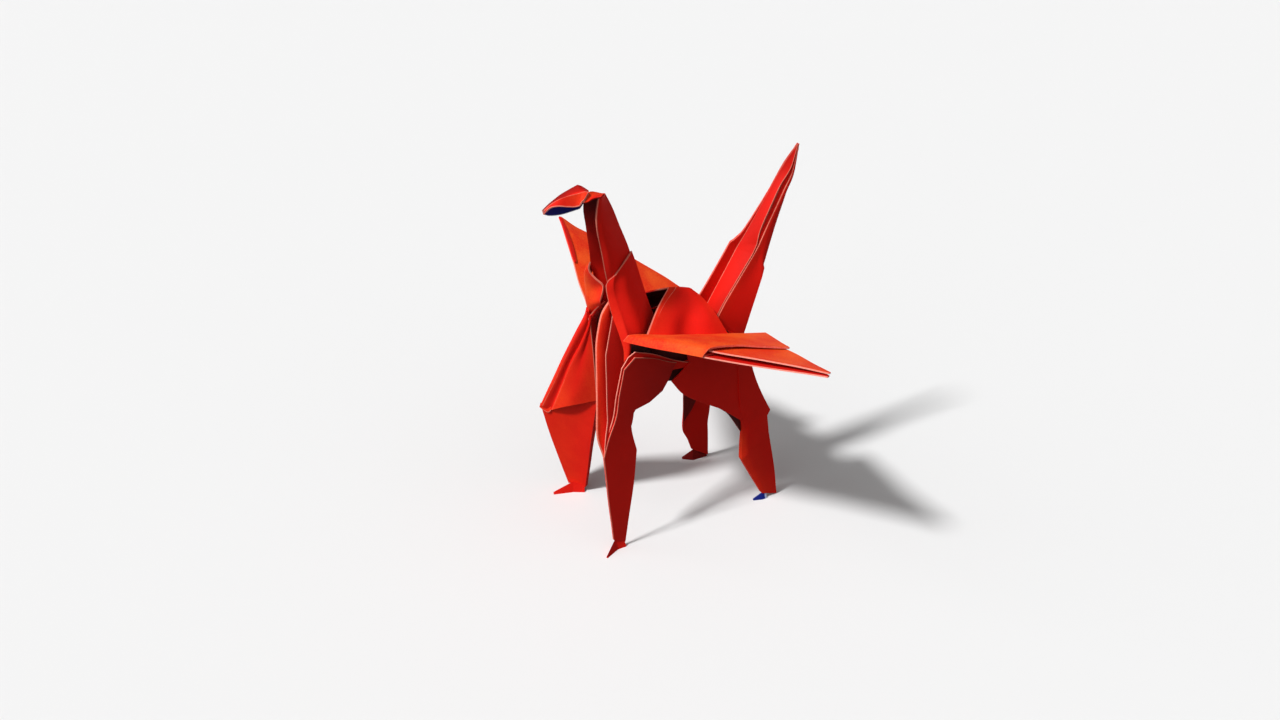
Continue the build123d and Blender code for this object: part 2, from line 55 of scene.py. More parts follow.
# Shader maths
class Wire:
    # a node socket that takes part in ordinary arithmetic

    def __init__(self, tree, socket=None):
        self.tree = tree
        self.socket = socket

    def make(self, kind, settings=None, inputs=None):  # inputs: {name or number of a socket: value or Wire}
        node = self.tree.nodes.new(kind)
        for name, value in (settings or {}).items():
            setattr(node, name, value)
        for key, value in (inputs or {}).items():
            if isinstance(value, Wire):
                value.feed(node.inputs[key])
            else:
                node.inputs[key].default_value = value
        return node

    def wire(self, node, output=0):
        return Wire(self.tree, node.outputs[output])

    def feed(self, target):
        self.tree.links.new(self.socket, target)

    def maths(self, operation, first, second):
        return self.wire(self.make("ShaderNodeMath", {"operation": operation}, {0: first, 1: second}))

    def __add__(self, other):
        return self.maths("ADD", self, other)

    def __radd__(self, other):
        return self.maths("ADD", other, self)

    def __sub__(self, other):
        return self.maths("SUBTRACT", self, other)

    def __rsub__(self, other):
        return self.maths("SUBTRACT", other, self)

    def __mul__(self, other):
        return self.maths("MULTIPLY", self, other)

    def __rmul__(self, other):
        return self.maths("MULTIPLY", other, self)

    def ramp(self, low, high):  # 0 below low, 1 above high
        node = self.make("ShaderNodeMapRange", {"interpolation_type": "SMOOTHSTEP"},
                         {0: self, 1: low, 2: high, 3: 0.0, 4: 1.0})
        return self.wire(node)

    def tint(self, low, high):  # one colour at 0, the other at 1
        node = self.make("ShaderNodeMix", {"data_type": "RGBA", "clamp_factor": True},
                         {0: self, 6: low, 7: high})
        return self.wire(node, 2)

    def grain(self, size, detail, rough):  # noise whose spots are about this size in metres
        node = self.make("ShaderNodeTexNoise", {"noise_dimensions": "3D"},
                         {"Vector": self, "Scale": 1.0 / size, "Detail": detail, "Roughness": rough})
        return self.wire(node)

    def bump(self, strength, depth):  # the relief of a height, depth in metres
        node = self.make("ShaderNodeBump", None, {"Strength": strength, "Distance": depth, "Height": self})
        return self.wire(node)


def startMaterial(name):
    material = bpy.data.materials.new(name)
    material.use_nodes = True
    start = Wire(material.node_tree)
    shader = material.node_tree.nodes["Principled BSDF"]
    return material, shader, start


def objectPlace(start):
    return start.wire(start.make("ShaderNodeTexCoord"), "Object")


def vertexValue(start, name):
    return start.wire(start.make("ShaderNodeAttribute", {"attribute_name": name}), "Fac")


paper = {
    "outer": (0.84, 0.010, 0.004, 1.0),
    "outerDeep": (0.74, 0.009, 0.003, 1.0),
    # painted light: the orange that strongly lit red paper shows
    "paintedLitOrange": (0.92, 0.135, 0.016, 1.0),
    "paintedFoldShade": (0.030, 0.003, 0.003, 1.0),  # painted shade: the sheet deep inside a fold
    "inner": (0.010, 0.022, 0.26, 1.0),
    "innerDeep": (0.006, 0.012, 0.18, 1.0),
    "innerRub": (0.55, 0.60, 0.85, 1.0),
    "rub": (0.90, 0.24, 0.17, 1.0),  # where the colour has cracked off a crease; along rounded creases also a painted highlight
    "core": (0.92, 0.32, 0.25, 1.0),  # the cut edge
    "specular": 0.14,
    "roughness": 0.68,
    "fibreRoughness": 0.12,
    "rubSheenRoughness": 0.14,
    "fibre": 0.00035,  # sizes in metres
    "speck": 0.001085,
    "cloud": 0.006,
    "cloudShare": 0.55,  # of the two tones of the sheet, the rest is fibre
    "cloudRange": (0.30, 0.72),
    "fibreRange": (0.25, 0.75),
    "rubSheenSpeckle": 0.10,
    "rubSheenRange": (0.02, 0.16),
    "rubSheenLeast": 0.70,
    "rubSheenFibre": 0.45,
    "patchRange": (0.35, 0.65),
    "bump": 0.35,
    "bumpDepth": 0.00004,
    "speckHeight": 0.6,
}

rawEdge = {
    "roughness": 0.8,
    "fibre": 0.00049,
    "bump": 0.4,
    "bumpDepth": 0.00005,
}


def sheetMaterial(name, colour, deep, paintedLitOrange, rub):
    material, shader, start = startMaterial(name)
    place = objectPlace(start)
    cloud = place.grain(paper["cloud"], 4.0, 0.55)
    fibre = place.grain(paper["fibre"], 5.0, 0.65)
    speck = place.grain(paper["speck"], 3.0, 0.6)
    wornAndSheen = vertexValue(start, "wornAndSheen")
    paintedLight = vertexValue(start, "paintedLight")
    clouds = paper["cloudShare"] * cloud.ramp(*paper["cloudRange"])
    fibres = (1.0 - paper["cloudShare"]) * fibre.ramp(*paper["fibreRange"])
    # painted highlight: above 0 the painted light value turns the sheet toward the lit orange
    sheet = (clouds + fibres).tint(deep, paintedLight.tint(colour, paintedLitOrange))
    # the rubbed band: wear, and along rounded creases a painted highlight
    rubAndSheenPlace = (wornAndSheen + paper["rubSheenSpeckle"] * (speck - 0.5)).ramp(*paper["rubSheenRange"])
    rubAndSheen = rubAndSheenPlace * (paper["rubSheenLeast"] + paper["rubSheenFibre"] * fibre.ramp(*paper["patchRange"]))
    # painted shade: below 0 the painted light value darkens the sheet toward the shade of a deep fold
    paintedShadeShare = (0.0 - paintedLight).ramp(0.0, 1.0)
    paintedShadeShare.tint(rubAndSheen.tint(sheet, rub), paper["paintedFoldShade"]).feed(shader.inputs["Base Color"])
    rough = paper["roughness"] + paper["fibreRoughness"] * (fibre - 0.5) + paper["rubSheenRoughness"] * rubAndSheen
    rough.feed(shader.inputs["Roughness"])
    relief = fibre + paper["speckHeight"] * speck
    relief.bump(paper["bump"], paper["bumpDepth"]).feed(shader.inputs["Normal"])
    shader.inputs["Specular IOR Level"].default_value = paper["specular"]
    return material


def rimMaterial(name):
    material, shader, start = startMaterial(name)
    fibre = objectPlace(start).grain(rawEdge["fibre"], 4.0, 0.7)
    fibre.ramp(*paper["patchRange"]).tint(paper["rub"], paper["core"]).feed(shader.inputs["Base Color"])
    fibre.bump(rawEdge["bump"], rawEdge["bumpDepth"]).feed(shader.inputs["Normal"])
    shader.inputs["Roughness"].default_value = rawEdge["roughness"]
    return material


sheetMaterials = [
    sheetMaterial("vermilionSide", paper["outer"], paper["outerDeep"], paper["paintedLitOrange"], paper["rub"]),
    sheetMaterial("blueSide", paper["inner"], paper["innerDeep"], paper["inner"], paper["innerRub"]),
    rimMaterial("rawEdge"),
]
outside, inside, rim = range(3)  # their numbers on each piece
print("materials made")


# Folding tools
def vectors(points):
    return [Vector(point) for point in points]


def moved(rail, dx=0.0, dy=0.0, dz=0.0):
    return [(x + dx, y + dy, z + dz) for x, y, z in rail]


def mirrored(rail):
    return [(-x, y, z) for x, y, z in rail]


def inward(rail, widths):
    return [(x - width, y, z) for (x, y, z), width in zip(rail, widths)]


def between(here, there, share):
    return [tuple(a + (b - a) * share for a, b in zip(*points)) for points in zip(here, there)]


def smoothRun(points, corners, steps):
    # a line through the points, smooth except at the corners
    out = []
    last = len(points) - 1
    for i in range(last):
        here, there = points[i], points[i + 1]
        chord = there - here
        leave = arrive = chord
        if i > 0 and i not in corners:
            leave = (there - points[i - 1]).normalized() * chord.length
        if i + 1 < last and i + 1 not in corners:
            arrive = (points[i + 2] - here).normalized() * chord.length
        for step in range(steps):
            t = step / steps
            out.append(here * (1 - 3 * t * t + 2 * t ** 3) + there * (3 * t * t - 2 * t ** 3)
                       + leave * (t - 2 * t * t + t ** 3) + arrive * (t ** 3 - t * t))
    out.append(points[last].copy())
    return out


def spread(values, share):
    # a single value, or a tuple of values spaced evenly along the flap
    if not isinstance(values, tuple):
        return values
    place = share * (len(values) - 1)
    first = min(int(place), len(values) - 2)
    return values[first] + (values[first + 1] - values[first]) * (place - first)


def fold(rails, creases=(), corners=(), wornAndSheen=None, ends=(0.0, 0.0), thick=0.3, closed=False,
         faces=(outside, outside), flip=False, edge=rim, paintedLight=0.0, lining=None):
    # rails: lines along the flap, each with the same number of stations
    # creases: rails where the sheet is folded hard; corners: stations where it turns hard
    # the rubbed band, wear and along rounded creases a painted highlight: its width in mm at each rail, as
    # {rail: width}; ends: the same for the two ends
    # the painted light and shade value: above 0 a painted highlight toward the orange of strong light, 1 at
    # full; below 0 painted shade, -1 deep inside a fold; one value or one for each rail
    # lining: the painted light and shade of the flap's other face, where it differs
    # a width or a painted light value may also be a tuple of values, spaced evenly along the flap
    rails = [vectors(rail) for rail in rails]
    if closed:
        rails.append([point.copy() for point in rails[0]])
    return {"rails": rails, "creases": set(creases), "corners": set(corners), "wornAndSheen": wornAndSheen or {},
            "ends": ends, "thick": thick, "closed": closed, "faces": faces, "flip": flip,
            "edge": edge, "paintedLight": paintedLight, "lining": lining}


noise.seed_set(layout["waveSeed"])


def wave(point):
    # the soft unevenness of handled paper, none at the floor
    share = min(1.0, max(0.0, point.z - layout["waveStart"]) / layout["waveRise"])
    return noise.noise_vector(point / layout["waveSize"]) * layout["waveHeight"] * share


def addFold(mesh, wornAndSheenLayer, paintedLightLayer, flap):
    along, across = layout["alongSteps"], layout["acrossSteps"]
    rails, creases, closed = flap["rails"], flap["creases"], flap["closed"]
    lines = [smoothRun(rail, flap["corners"], along) for rail in rails]
    columns = [smoothRun([line[b] for line in lines], creases, across) for b in range(len(lines[0]))]
    wide, long = len(columns[0]), len(columns)
    lastRow = wide - 1 if closed else wide

    def wornAndSheenAt(a, b):
        point, best = columns[b][a], -1.0
        for rail, width in flap["wornAndSheen"].items():
            nearest = (point - columns[b][rail * across]).length
            best = max(best, spread(width, b / (long - 1)) - nearest)
        for width, row in zip(flap["ends"], (0, long - 1)):
            if width:
                best = max(best, width - (point - columns[row][a]).length)
        return best

    def paintedLightAt(tones, a, b):
        if not isinstance(tones, list):
            return tones
        rail, step = divmod(a, across)
        here, there = (spread(tones[i % len(tones)], b / (long - 1)) for i in (rail, rail + 1))
        return here + (there - here) * step / across

    grid, linings = [], {}
    for b in range(long):
        row = []
        for a in range(lastRow):
            point = columns[b][a]
            vert = mesh.verts.new(point + wave(point))
            vert[wornAndSheenLayer] = wornAndSheenAt(a, b)
            vert[paintedLightLayer] = paintedLightAt(flap["paintedLight"], a, b)
            if flap["lining"] is not None:
                linings[vert] = paintedLightAt(flap["lining"], a, b)
            row.append(vert)
        if closed:
            row.append(row[0])
        grid.append(row)
    madeFaces = []
    for b in range(long - 1):
        for a in range(wide - 1):
            corners = [grid[b][a], grid[b][a + 1], grid[b + 1][a + 1], grid[b + 1][a]]
            corners = list(dict.fromkeys(corners))
            if flap["flip"]:
                corners.reverse()
            face = mesh.faces.new(corners)
            face.material_index = flap["faces"][0]
            face.smooth = True
            madeFaces.append(face)
    for b in range(long - 1):
        for rail in range(len(rails)):
            if rail in creases or (closed and rail in (0, len(rails) - 1) and 0 in creases):
                edge = mesh.edges.get((grid[b][rail * across], grid[b + 1][rail * across]))
                if edge:
                    edge.smooth = False
    for station in flap["corners"]:
        row = grid[station * along]
        for a in range(wide - 1):
            edge = mesh.edges.get((row[a], row[a + 1]))
            if edge:
                edge.smooth = False
    if closed:
        for row in (grid[0], grid[-1]):
            cap = mesh.faces.new(row[:-1])
            cap.material_index = flap["edge"]
            cap.smooth = False
        return
    thicken(mesh, wornAndSheenLayer, paintedLightLayer, madeFaces, flap, linings)


def thicken(mesh, wornAndSheenLayer, paintedLightLayer, madeFaces, flap, linings):
    half = flap["thick"] / 2
    for face in madeFaces:
        face.normal_update()
    verts = list(dict.fromkeys(vert for face in madeFaces for vert in face.verts))
    inner = {}
    shifts = {}
    for vert in verts:
        vert.normal_update()
        factor = min(vert.calc_shell_factor(), layout["mitreLimit"])
        shifts[vert] = vert.normal * half * factor
    for vert in verts:
        twin = mesh.verts.new(vert.co - shifts[vert])
        twin[wornAndSheenLayer] = vert[wornAndSheenLayer]
        twin[paintedLightLayer] = linings.get(vert, vert[paintedLightLayer])
        inner[vert] = twin
        vert.co += shifts[vert]
    sharp = [edge for face in madeFaces for edge in face.edges if not edge.smooth]
    border = [(face, loop.vert, loop.link_loop_next.vert) for face in madeFaces for loop in face.loops
              if loop.edge.is_boundary]
    for face in madeFaces:
        back = mesh.faces.new([inner[vert] for vert in reversed(face.verts)])
        back.material_index = flap["faces"][1]
        back.smooth = True
    for edge in sharp:
        twin = mesh.edges.get((inner[edge.verts[0]], inner[edge.verts[1]]))
        if twin:
            twin.smooth = False
    for face, first, second in border:
        side = mesh.faces.new([second, first, inner[first], inner[second]])
        side.material_index = flap["edge"]
        side.smooth = False
        for edge in side.edges:
            edge.smooth = False


def addToScene(name, data):
    thing = bpy.data.objects.new(name, data)
    bpy.context.scene.collection.objects.link(thing)
    return thing


def makePiece(name, folds):
    mesh = bmesh.new()
    wornAndSheenLayer = mesh.verts.layers.float.new("wornAndSheen")
    paintedLightLayer = mesh.verts.layers.float.new("paintedLight")
    for flap in folds:
        addFold(mesh, wornAndSheenLayer, paintedLightLayer, flap)
    for vert in mesh.verts:
        vert.co = (vert.co + layout["shift"]) * layout["toMetres"]
        vert.co.z = max(vert.co.z, 0.0)
    data = bpy.data.meshes.new(name)
    mesh.to_mesh(data)
    mesh.free()
    for material in sheetMaterials:
        data.materials.append(material)
    piece = addToScene(name, data)
    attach(piece, "root")
    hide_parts("folded_sheet")
    print(name, "made:", len(data.polygons), "faces")


# Head
headShape = {
    "thick": 0.28,
    "edgeWear": 0.24,
    "creaseRubSheen": 0.13,
    "ridge": [(-0.6, -17.6, 74.4), (-0.9, -18.6, 75.2), (-1.0, -19.4, 75.6), (-1.0, -20.7, 75.2),
              (-0.8, -22.8, 74.6), (-0.7, -24.4, 73.9), (-0.5, -25.4, 73.5), (-0.2, -26.7, 72.8)],
    "pleat": [(0.6, -18.2, 74.5), (0.3, -18.9, 74.9), (0.1, -19.5, 74.9), (0.0, -20.6, 74.8),
              (0.0, -22.0, 74.5), (0.1, -23.6, 74.3), (0.1, -25.3, 73.7), (0.0, -26.6, 72.9)],
    "crease": [(1.5, -18.7, 75.1), (1.3, -19.1, 75.2), (1.1, -19.8, 75.1), (1.0, -20.6, 75.0),
               (0.9, -22.3, 74.9), (0.8, -24.0, 74.6), (0.5, -25.4, 73.9), (0.2, -26.5, 73.0)],
    "nearEdge": [(2.6, -20.1, 74.4), (2.5, -20.5, 74.1), (2.3, -20.8, 73.4), (2.1, -21.7, 73.3),
                 (1.8, -23.0, 73.5), (1.4, -24.7, 73.8), (0.9, -25.8, 73.5), (0.2, -26.6, 72.4)],
    "farEdge": [(-1.9, -17.2, 73.4), (-2.3, -18.0, 71.4), (-2.3, -18.6, 70.7), (-2.2, -20.1, 70.6),
                (-1.9, -22.2, 70.6), (-1.5, -23.9, 70.9), (-1.0, -25.4, 71.4), (-0.2, -26.5, 72.1)],
    "capFar": [(-1.2, -17.9, 73.8), (-1.4, -17.0, 73.2), (-1.2, -16.2, 73.0), (-0.8, -14.6, 72.6)],
    "capTop": [(0.9, -18.3, 74.8), (0.7, -17.7, 74.7), (0.5, -16.9, 74.4), (0.5, -15.2, 73.7)],
    "capNear": [(2.6, -20.3, 74.0), (2.6, -19.5, 73.9), (2.4, -18.2, 74.2), (2.1, -16.6, 74.0)],
    # painted light and shade on the red face of the hood: painted shade on the far edge, ridge and pleat, a
    # painted highlight toward orange on the crease and near edge; the cap has a painted highlight on top,
    # painted shade at its lower edge and on its lining
    "tones": [-0.6, (-0.45, -0.6, -0.8), (-0.3, -0.4, -0.65), (0.35, 0.3, 0.0), (0.3, 0.2, -0.3)],
    "capTones": [0.2, (0.8, 0.5), (0.3, -0.2)],
}

shape = headShape
makePiece("head", [
    fold([shape["farEdge"], shape["ridge"], shape["pleat"], shape["crease"], shape["nearEdge"]],
         creases=(1, 2, 3), corners=(2,), ends=(0.12, 0.2),
         wornAndSheen={0: shape["edgeWear"], 3: shape["creaseRubSheen"], 4: shape["edgeWear"]},
         thick=shape["thick"], faces=(inside, outside), lining=shape["tones"]),
    fold([shape["capFar"], shape["capTop"], shape["capNear"]], creases=(1,), ends=(0.22, 0.0),
         thick=shape["thick"], edge=outside, paintedLight=shape["capTones"], lining=-0.8),
])


# Neck and chest
neckShape = {
    "thick": 0.34,
    "edgeWear": 0.26,
    "nearEdge": [(2.0, -17.1, 74.0), (2.5, -17.9, 71.0), (2.6, -17.8, 68.1), (1.9, -16.6, 63.1),
                 (1.1, -15.2, 57.1), (0.5, -13.8, 54.4), (0.4, -13.4, 50.8)],
    "nearSoft": [(1.6, -16.2, 73.8), (2.2, -16.6, 70.6), (2.6, -16.3, 67.6), (2.5, -15.2, 62.7),
                 (1.6, -13.8, 57.2), (0.4, -12.4, 54.4), (0.2, -12.0, 50.8)],
    "spine": [(0.0, -14.8, 73.5), (0.0, -13.3, 70.3), (0.0, -11.9, 66.5), (0.0, -10.2, 62.0),
              (0.0, -8.9, 57.0), (-0.4, -8.2, 53.4), (-0.6, -9.0, 50.6)],
    "farEdge": [(-2.0, -17.6, 73.8), (-2.2, -17.9, 70.6), (-2.5, -17.4, 67.4), (-2.6, -16.7, 62.0),
                (-3.4, -16.0, 58.2), (-3.2, -15.4, 55.4), (-3.0, -15.4, 50.6)],
    # painted shade toward the top of the neck, where the hood shades it, and on the neck's inner face
    "tones": [(-0.12, 0.0), (-0.15, 0.0, 0.0), (-0.3, -0.1, 0.0), 0.0],
    "innerTones": [(-0.8, -0.2), (-0.8, -0.2), (-0.9, -0.3, -0.2), (-0.85, -0.5, -0.1, 0.0)],
}

collarShape = {
    "thick": 0.36,
    "edgeWear": (0.30, 0.22, 0.1, -0.2, -0.3),
    "lipThick": 0.3,
    "lipWear": (0.26, 0.26, 0.26, 0.0),
    "bend": 0.12,  # share of the way from strip to side where the panel turns
    "edge": [(1.5, -15.0, 57.3), (1.1, -15.3, 56.1), (1.3, -15.1, 53.7), (2.4, -14.8, 50.3),
             (4.4, -14.3, 46.5), (5.6, -14.2, 44.3), (6.2, -14.5, 42.0)],
    "strip": [(2.2, -14.0, 58.5), (2.1, -14.4, 56.6), (2.3, -14.1, 53.9), (3.6, -13.6, 50.2),
              (5.4, -13.4, 46.9), (6.1, -13.4, 45.1), (6.5, -13.8, 43.1)],
    "side": [(1.7, -11.9, 60.3), (2.3, -11.8, 57.9), (3.1, -11.7, 54.1), (4.2, -10.7, 50.0),
             (5.2, -9.8, 45.8), (5.5, -9.4, 43.6), (5.7, -9.2, 41.5)],
    "spine": [(0.1, -9.5, 61.2), (0.4, -8.9, 59.2), (0.7, -7.9, 55.5), (0.8, -6.6, 51.3),
              (1.0, -4.7, 45.8), (1.2, -3.2, 41.4), (1.3, -2.4, 38.5)],
    "farLip": [(-2.9, -16.4, 59.4), (-2.9, -16.7, 58.2), (-2.6, -16.4, 57.1), (-1.9, -15.8, 56.2),
               (-1.0, -14.8, 55.0), (-0.8, -15.0, 53.7), (-0.9, -15.5, 52.0), (-2.4, -14.4, 49.7)],
    "farSide": [(-3.3, -16.4, 58.8), (-4.6, -16.5, 57.0), (-5.2, -16.4, 55.3), (-5.5, -16.1, 53.6),
                (-5.3, -16.0, 52.1), (-5.0, -16.0, 50.6), (-4.6, -15.9, 49.2), (-5.0, -14.6, 46.8)],
    "farRoot": [(-3.4, -14.6, 58.6), (-5.4, -14.6, 56.4), (-6.6, -14.8, 54.2), (-7.2, -15.0, 52.2),
                (-7.4, -15.2, 50.3), (-7.2, -15.2, 48.8), (-6.4, -15.2, 47.4), (-5.8, -14.6, 46.0)],
    "farBack": [(-0.4, -9.2, 59.4), (-1.6, -9.4, 57.0), (-3.0, -9.6, 54.4), (-4.4, -9.8, 51.6),
                (-5.6, -9.8, 49.0), (-6.2, -9.4, 47.2), (-6.6, -8.6, 45.8)],
    # painted highlight toward orange along the collar's edge and strip and on the far lip
    "edgeTones": (0.0, 0.1, 0.2),
    "stripTones": (0.0, 0.05, 0.1),
    "sideTones": (0.0, 0.0, 0.0, 0.0, -0.1, -0.95, -0.95),  # painted shade at the foot under the wing
    "lipTones": [0.15, 0.85, 0.9],
}

shape = neckShape
collar = collarShape
makePiece("neck", [
    fold([shape["nearEdge"], shape["nearSoft"], shape["spine"], shape["farEdge"]], creases=(2,),
         wornAndSheen={0: shape["edgeWear"], 2: (0.0, 0.08, 0.12)}, thick=shape["thick"], flip=True, edge=outside,
         paintedLight=shape["tones"], lining=shape["innerTones"]),
    fold([collar["edge"], collar["strip"], between(collar["strip"], collar["side"], collar["bend"]),
          collar["side"], collar["spine"]],
         wornAndSheen={0: collar["edgeWear"]}, ends=(0.3, 0.0), thick=collar["thick"], flip=True, edge=outside,
         paintedLight=[collar["edgeTones"], collar["stripTones"]] + [collar["sideTones"]] * 3, lining=-0.6),
    # painted shade: the collar's lining and its far back, deep in the chest
    fold([collar["spine"], collar["farBack"], moved(collar["farRoot"][:7], dx=0.3, dy=0.5)],
         thick=collar["thick"], edge=outside, paintedLight=-0.9, lining=0.0),
])


# Hump
humpShape = {
    "thick": 0.36,
    "front": [(7.4, -11.1, 45.6), (5.2, -8.0, 48.3), (2.6, -4.7, 50.1), (0.0, -1.3, 51.3)],
    "hem": [(7.5, -9.9, 45.4), (5.2, -6.9, 48.3), (2.4, -3.2, 50.0), (0.0, 0.5, 50.9)],
    "swell": [(8.1, -5.9, 44.8), (5.7, -3.5, 47.1), (2.6, -1.0, 49.0), (0.0, 1.6, 50.6)],
    "dent": [(7.2, -1.9, 43.6), (4.8, 0.0, 46.0), (2.5, 1.6, 48.5), (0.0, 2.8, 50.2)],
    "seat": [(8.1, 3.2, 42.9), (5.5, 4.0, 46.1), (2.2, 3.9, 48.5), (0.0, 3.4, 50.0)],
    "rear": [(8.2, 8.2, 41.2), (5.0, 6.3, 46.1), (1.6, 5.2, 48.4), (0.0, 3.9, 49.7)],
    "frontWear": (0.40, 0.40, 0.40, 0.30, -0.1, -0.2, -0.2),
    "hemWear": (0.0, 0.10, 0.16, 0.15, -0.1),
    # painted highlight on the front hem, painted shade on the lining inside the hump
    "tones": [0.30, 0.15, 0.0, 0.0, 0.0, 0.10],
}


def overRidge(rail):
    return rail + mirrored(reversed(rail[:-1]))


shape = humpShape
makePiece("hump", [
    fold([overRidge(shape[name]) for name in ("front", "hem", "swell", "dent", "seat", "rear")],
         creases=(1,), corners=(3,), wornAndSheen={0: shape["frontWear"], 1: shape["hemWear"]}, thick=shape["thick"],
         edge=outside, paintedLight=shape["tones"], lining=-0.85),
])


# Near wing
nearWingShape = {
    "rootThick": 0.36,
    "plyThick": 0.26,
    "plyWear": 0.12,
    "edgeWear": 0.24,
    "trail": [(8.2, 16.4, 40.3), (14.0, 14.8, 42.1), (20.6, 12.8, 44.4)],
    "behind": [(7.6, 7.0, 42.5), (13.0, 6.4, 44.2), (19.2, 6.4, 45.9)],
    "middle": [(6.9, -4.0, 45.1), (12.2, -1.4, 46.3), (18.4, 2.2, 46.9)],
    "rollTop": [(6.2, -13.3, 47.4), (12.0, -8.6, 47.8), (18.2, -3.4, 47.8)],
    "nose": [(6.5, -14.7, 46.8), (12.0, -10.4, 46.8), (18.2, -5.0, 46.7)],
    "rollUnder": [(6.8, -12.8, 46.4), (12.4, -8.8, 46.4), (18.0, -3.6, 46.4)],
    "under": [(7.2, -4.0, 44.8), (12.0, -1.4, 45.5), (17.6, 2.0, 46.1)],
    "upperLead": [(16.0, -4.2, 46.9), (19.6, -2.0, 47.2), (25.0, 1.8, 47.7), (31.0, 5.8, 48.2),
                  (36.4, 8.9, 48.6)],
    "upperMid": [(15.4, 3.0, 45.3), (19.6, 4.0, 45.9), (25.2, 6.0, 46.6), (31.0, 8.2, 47.6),
                 (36.5, 9.2, 48.6)],
    "upperTrail": [(16.6, 12.4, 43.2), (21.0, 12.4, 44.1), (25.6, 11.8, 45.3), (31.2, 10.6, 46.9),
                   (36.2, 9.6, 48.4)],
    "lowerLead": [(17.6, -5.2, 46.4), (20.6, -3.0, 46.6), (25.8, 0.8, 47.0), (31.6, 5.0, 47.6),
                  (36.8, 8.5, 48.2)],
    "lowerTrail": [(16.8, 10.4, 43.0), (21.0, 10.8, 43.8), (25.6, 10.6, 45.0), (31.2, 10.0, 46.6),
                   (36.4, 9.2, 48.0)],
    # painted light: the top of the wing and its upper ply turned toward orange; painted shade on the
    # underside, the lining and the lower ply
    "rootTones": [0.9, 0.95, (0.8, 1.0), (0.8, 1.0), (0.7, 1.0), -0.8, -0.35],
    "upperTones": [0.85, 0.9, 0.8],
    "lowerTones": [-0.35, -0.3],
}

shape = nearWingShape
makePiece("nearWing", [
    fold([shape["trail"], shape["behind"], shape["middle"], shape["rollTop"], shape["nose"],
          shape["rollUnder"], shape["under"]], creases=(4,), ends=(0.12, 0.10),
         thick=shape["rootThick"], edge=outside, paintedLight=shape["rootTones"], lining=-0.35),
    fold([shape["upperTrail"], shape["upperMid"], shape["upperLead"]],
         wornAndSheen={0: shape["plyWear"], 2: shape["edgeWear"]}, thick=shape["plyThick"], paintedLight=shape["upperTones"]),
    fold([shape["lowerTrail"], shape["lowerLead"]], wornAndSheen={1: shape["plyWear"]}, thick=shape["plyThick"],
         paintedLight=shape["lowerTones"]),
])


# Far wing
farWingShape = {
    "thick": 0.42,
    "hemThick": 0.3,
    "edgeWear": 0.14,
    # painted light: the top of the far wing turned toward orange
    "paintedLight": 0.85,
    "lead": [(-5.6, -15.4, 46.6), (-9.6, -14.2, 47.7), (-14.4, -13.1, 48.9), (-20.2, -11.3, 50.5),
             (-27.2, -9.3, 52.2), (-31.3, -8.1, 53.2), (-34.1, -7.3, 53.9)],
    "front": [(-6.2, -9.5, 46.2), (-11.0, -9.0, 47.4), (-15.6, -8.8, 48.6), (-21.2, -8.2, 50.2),
              (-27.8, -7.4, 52.1), (-31.7, -7.2, 53.2), (-34.3, -7.0, 53.9)],
    "middle": [(-6.8, 1.0, 43.4), (-11.6, 0.6, 44.6), (-16.4, -0.6, 46.4), (-21.8, -2.2, 48.6),
               (-28.0, -4.6, 51.2), (-31.8, -6.0, 52.7), (-34.4, -6.7, 53.8)],
    "trail": [(-8.0, 16.6, 38.6), (-12.0, 11.5, 41.1), (-17.2, 8.0, 43.8), (-22.1, 3.6, 46.8),
              (-28.3, -1.5, 50.3), (-31.8, -4.7, 52.1), (-34.1, -6.4, 53.6)],
    "hemLead": [(-19.6, -11.3, 50.9), (-20.6, -11.2, 51.3), (-25.0, -10.0, 52.5), (-29.6, -8.7, 53.6),
                (-34.2, -7.5, 54.3)],
    "hemBack": [(-19.7, -11.0, 50.8), (-20.6, -10.5, 50.9), (-25.0, -9.1, 52.0), (-29.6, -7.9, 53.1),
                (-34.2, -6.9, 54.1)],
}

shape = farWingShape
makePiece("farWing", [
    fold([shape["lead"], shape["front"], shape["middle"], shape["trail"]],
         wornAndSheen={0: shape["edgeWear"], 3: shape["edgeWear"]}, thick=shape["thick"], flip=True,
         paintedLight=shape["paintedLight"]),
    fold([shape["hemLead"], shape["hemBack"]], thick=shape["hemThick"], flip=True, edge=outside),
    fold([collar["farLip"], collar["farSide"], collar["farRoot"]], wornAndSheen={0: collar["lipWear"]},
         thick=collar["lipThick"], flip=True, paintedLight=collar["lipTones"], edge=outside),
])


